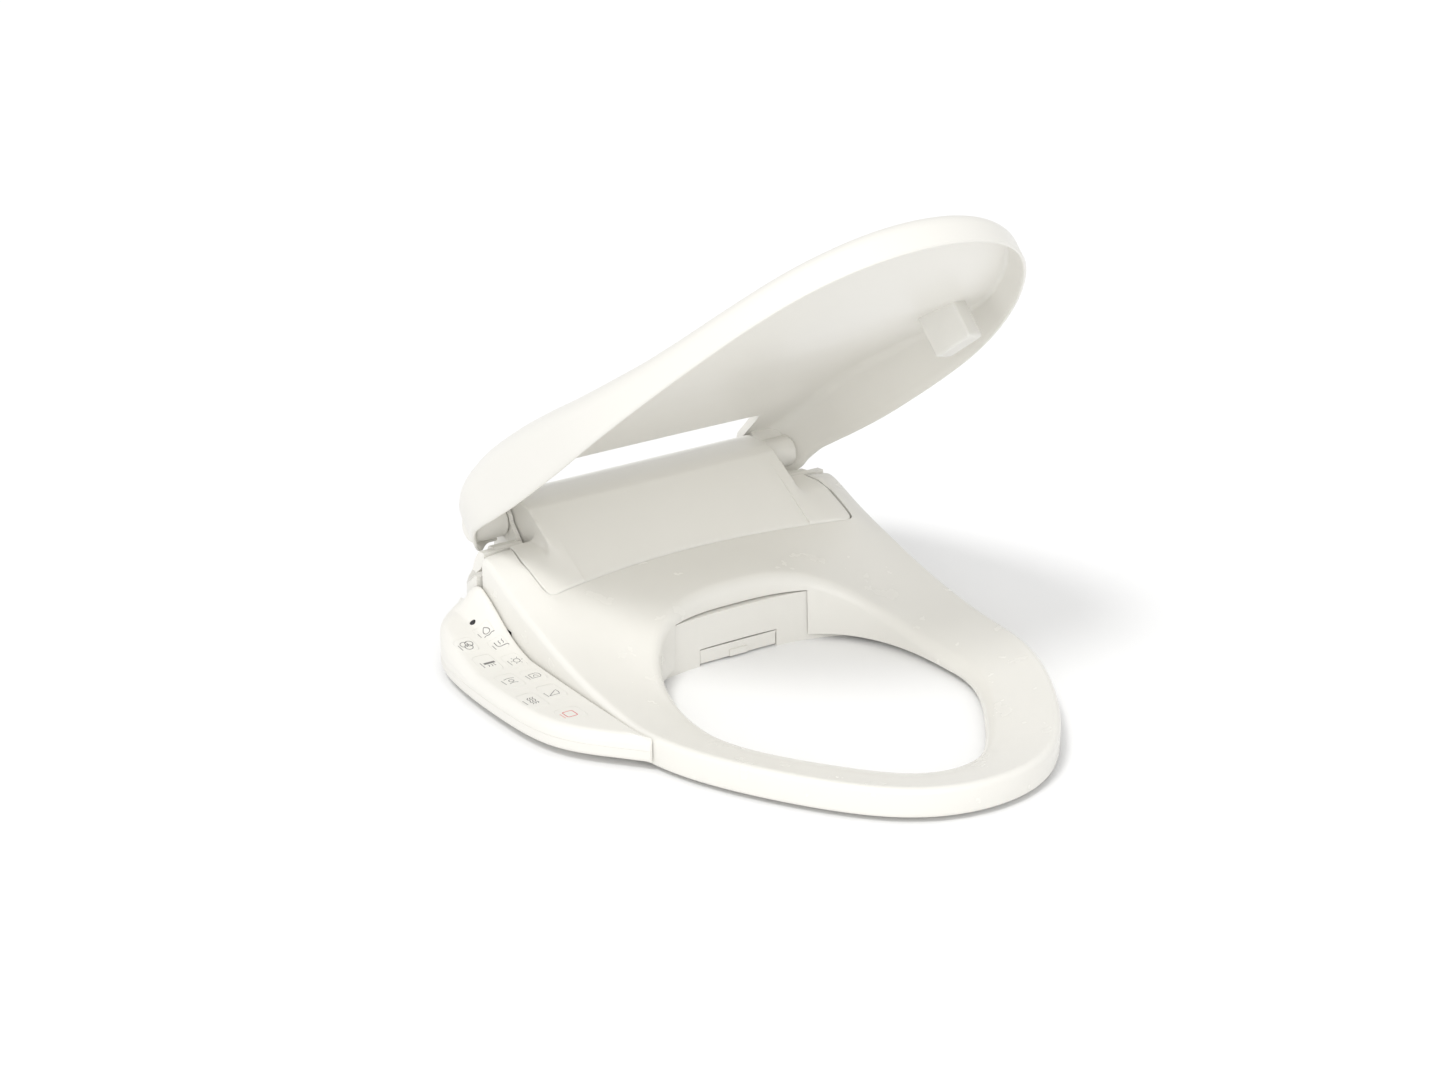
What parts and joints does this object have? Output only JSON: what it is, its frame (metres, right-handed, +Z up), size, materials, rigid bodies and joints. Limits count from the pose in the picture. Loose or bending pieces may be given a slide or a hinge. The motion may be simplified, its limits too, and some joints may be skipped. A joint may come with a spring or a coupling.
{
  "type": "electric bidet toilet seat",
  "caption": "Off-white electric bidet seat with a half-open curved lid, heated ring seat, hidden wash wand behind a small gate and a side arm of touch keys.",
  "frame": {"origin": "midway between the two bowl bolts, on the plane the seat rests on", "axes": "+Z up, the seat's front towards -Y, the control panel on -X"},
  "size_m": [0.4472, 0.5696, 0.4618],
  "materials": {
    "housing_plastic": "moulded gloss",
    "seat_plastic": "moulded gloss",
    "lid_plastic": "moulded gloss",
    "panel_plastic": "moulded satin gloss",
    "key_film": "printed film",
    "stop_key_film": "printed film with a red mark",
    "plate_plastic": "moulded matte",
    "insert_plastic": "moulded matte",
    "release_plastic": "moulded matte",
    "brass_plated": "plated",
    "dark_plastic": "moulded matte",
    "tank_plastic": "moulded matte",
    "board_green": "solder-masked laminate",
    "motor_steel": "plain steel",
    "wand_plastic": "moulded gloss",
    "wand_steel": "polished steel",
    "heater_foil": "foil",
    "bumper_rubber": "moulded rubber",
    "lid_bumper_plastic": "moulded gloss",
    "lens_black": "tinted lens"
  },
  "bodies": {
    "housing": {"base_tray": "housing_plastic", "top_cover": "housing_plastic", "mounting_plate": "plate_plastic", "bolt_inserts": "insert_plastic", "inlet_fitting": "brass_plated", "inlet_valve": "dark_plastic", "heater_tank": "tank_plastic", "power_gland": "dark_plastic", "main_board": "board_green", "fan_scroll": "dark_plastic", "fan_motor": "motor_steel", "hinge_shafts": "motor_steel", "soft_close_dampers": "dark_plastic", "wand_rail": "tank_plastic", "wand_motor": "motor_steel", "panel_top": "panel_plastic", "panel_bottom": "panel_plastic", "panel_board": "board_green", "panel_foot": "bumper_rubber", "dome_switches": "motor_steel", "sensor_lens": "lens_black", "cover_screws": "motor_steel", "panel_screws": "motor_steel"},
    "seat": {"seat_top_shell": "seat_plastic", "seat_bottom_shell": "seat_plastic", "seat_heater": "heater_foil", "seat_bumpers": "bumper_rubber", "seat_hinge_arms": "seat_plastic"},
    "lid": {"lid_shell": "lid_plastic", "lid_bumpers": "lid_bumper_plastic", "lid_knuckles": "lid_plastic"},
    "wand": {"wand_tube": "wand_plastic", "wand_tip": "wand_steel"},
    "gate": {"nozzle_gate": "housing_plastic"},
    "fan": {"fan_rotor": "dark_plastic"},
    "release": {"release_button": "release_plastic"},
    "key_stop": {"key_stop": "stop_key_film"},
    "key_rear_wash": {"key_rear_wash": "key_film"},
    "key_front_wash": {"key_front_wash": "key_film"},
    "key_dry": {"key_dry": "key_film"},
    "key_pressure": {"key_pressure": "key_film"},
    "key_position": {"key_position": "key_film"},
    "key_water_heat": {"key_water_heat": "key_film"},
    "key_seat_heat": {"key_seat_heat": "key_film"},
    "key_light": {"key_light": "key_film"},
    "key_clean": {"key_clean": "key_film"}
  },
  "joints": [
    {"name": "seat_hinge", "type": "hinge", "parent": "housing", "child": "seat", "pos_m": [0, 0.075, 0.101], "axis": [-1, 0, 0], "range_deg": [0, 95]},
    {"name": "lid_hinge", "type": "hinge", "parent": "seat", "child": "lid", "pos_m": [0, 0.075, 0.101], "axis": [1, 0, 0], "range_deg": [-60, 45.5]},
    {"name": "wand_slide", "type": "slide", "parent": "housing", "child": "wand", "axis": [0, -0.9397, -0.342], "range_m": [0, 0.11]},
    {"name": "gate_hinge", "type": "hinge", "parent": "housing", "child": "gate", "pos_m": [0, -0.0903, 0.0135], "axis": [-1, 0, 0], "range_deg": [0, 95]},
    {"name": "fan_spin", "type": "hinge", "parent": "housing", "child": "fan", "pos_m": [0.086, 0.018, 0.02], "axis": [0, 0, 1], "continuous": true},
    {"name": "release_press", "type": "slide", "parent": "housing", "child": "release", "axis": [-1, 0, 0], "range_m": [0, 0.003], "stiffness_N_per_m": 600},
    {"name": "key_stop_press", "type": "slide", "parent": "housing", "child": "key_stop", "axis": [0, 0, -1], "range_m": [0, 0.0006], "stiffness_N_per_m": 1500, "springref_m": -0.0004},
    {"name": "key_rear_wash_press", "type": "slide", "parent": "housing", "child": "key_rear_wash", "axis": [0, 0, -1], "range_m": [0, 0.0006], "stiffness_N_per_m": 1500, "springref_m": -0.0004},
    {"name": "key_front_wash_press", "type": "slide", "parent": "housing", "child": "key_front_wash", "axis": [0, 0, -1], "range_m": [0, 0.0006], "stiffness_N_per_m": 1500, "springref_m": -0.0004},
    {"name": "key_dry_press", "type": "slide", "parent": "housing", "child": "key_dry", "axis": [0, 0, -1], "range_m": [0, 0.0006], "stiffness_N_per_m": 1500, "springref_m": -0.0004},
    {"name": "key_pressure_press", "type": "slide", "parent": "housing", "child": "key_pressure", "axis": [0, 0, -1], "range_m": [0, 0.0006], "stiffness_N_per_m": 1500, "springref_m": -0.0004},
    {"name": "key_position_press", "type": "slide", "parent": "housing", "child": "key_position", "axis": [0, 0, -1], "range_m": [0, 0.0006], "stiffness_N_per_m": 1500, "springref_m": -0.0004},
    {"name": "key_water_heat_press", "type": "slide", "parent": "housing", "child": "key_water_heat", "axis": [0, 0, -1], "range_m": [0, 0.0006], "stiffness_N_per_m": 1500, "springref_m": -0.0004},
    {"name": "key_seat_heat_press", "type": "slide", "parent": "housing", "child": "key_seat_heat", "axis": [0, 0, -1], "range_m": [0, 0.0006], "stiffness_N_per_m": 1500, "springref_m": -0.0004},
    {"name": "key_light_press", "type": "slide", "parent": "housing", "child": "key_light", "axis": [0, 0, -1], "range_m": [0, 0.0006], "stiffness_N_per_m": 1500, "springref_m": -0.0004},
    {"name": "key_clean_press", "type": "slide", "parent": "housing", "child": "key_clean", "axis": [0, 0, -1], "range_m": [0, 0.0006], "stiffness_N_per_m": 1500, "springref_m": -0.0004}
  ],
  "couplings": [
    {"joint": "gate_hinge", "follows": "wand_slide", "rad_per_m": 15}
  ]
}
